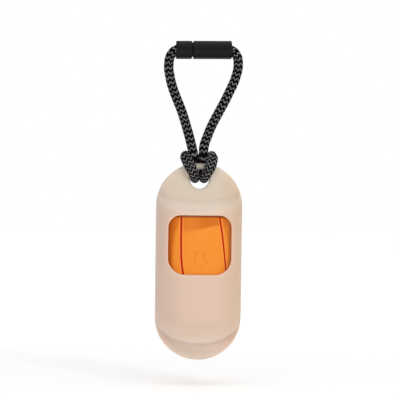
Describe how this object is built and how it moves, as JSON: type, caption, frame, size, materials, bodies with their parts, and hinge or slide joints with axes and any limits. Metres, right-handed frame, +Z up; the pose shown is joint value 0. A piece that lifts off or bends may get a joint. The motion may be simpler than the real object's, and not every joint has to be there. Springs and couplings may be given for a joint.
{
  "type": "dog poop bag dispenser",
  "caption": "Soft moulded carrier with a window that feeds bags off a roll, hung on a braided cord loop with a pull-apart barrel clasp.",
  "frame": {"origin": "middle of the leash where the clasp rests on it: directly above the carrier, at the underside of the clasp", "axes": "+Z up along the hanging carrier, -Y out of the window, +X towards the long half of the clasp"},
  "size_m": [0.0426, 0.038, 0.1575],
  "materials": {
    "silicone": "satin, milky and slightly translucent",
    "cardboard": "raw grey-brown board",
    "bag_film": "thin soft film with folds",
    "braid": "black braid with grey zigzag flecks",
    "clasp_plastic": "fine matte moulding",
    "sealed_nylon": "melted and set"
  },
  "bodies": {
    "loop": {"cord": "braid", "clasp_socket": "clasp_plastic", "socket_cord_end": "sealed_nylon"},
    "plug": {"clasp_plug": "clasp_plastic", "plug_cord_end": "sealed_nylon"},
    "carrier": {"carrier_shell": "silicone"},
    "roll": {"bag_roll": "bag_film", "roll_core": "cardboard", "lead_bag": "bag_film"}
  },
  "joints": [
    {"name": "clasp_release", "type": "slide", "parent": "loop", "child": "plug", "axis": [-1, 0, 0], "range_m": [0, 0.01], "deforming": ["cord"]},
    {"name": "carrier_swing", "type": "hinge", "parent": "loop", "child": "carrier", "pos_m": [0, 0, -0.05315], "axis": [1, 0, 0], "range_deg": [-12, 12]},
    {"name": "roll_spin", "type": "hinge", "parent": "carrier", "child": "roll", "pos_m": [0, 0, -0.10625], "axis": [0, 0, 1], "continuous": true}
  ]
}
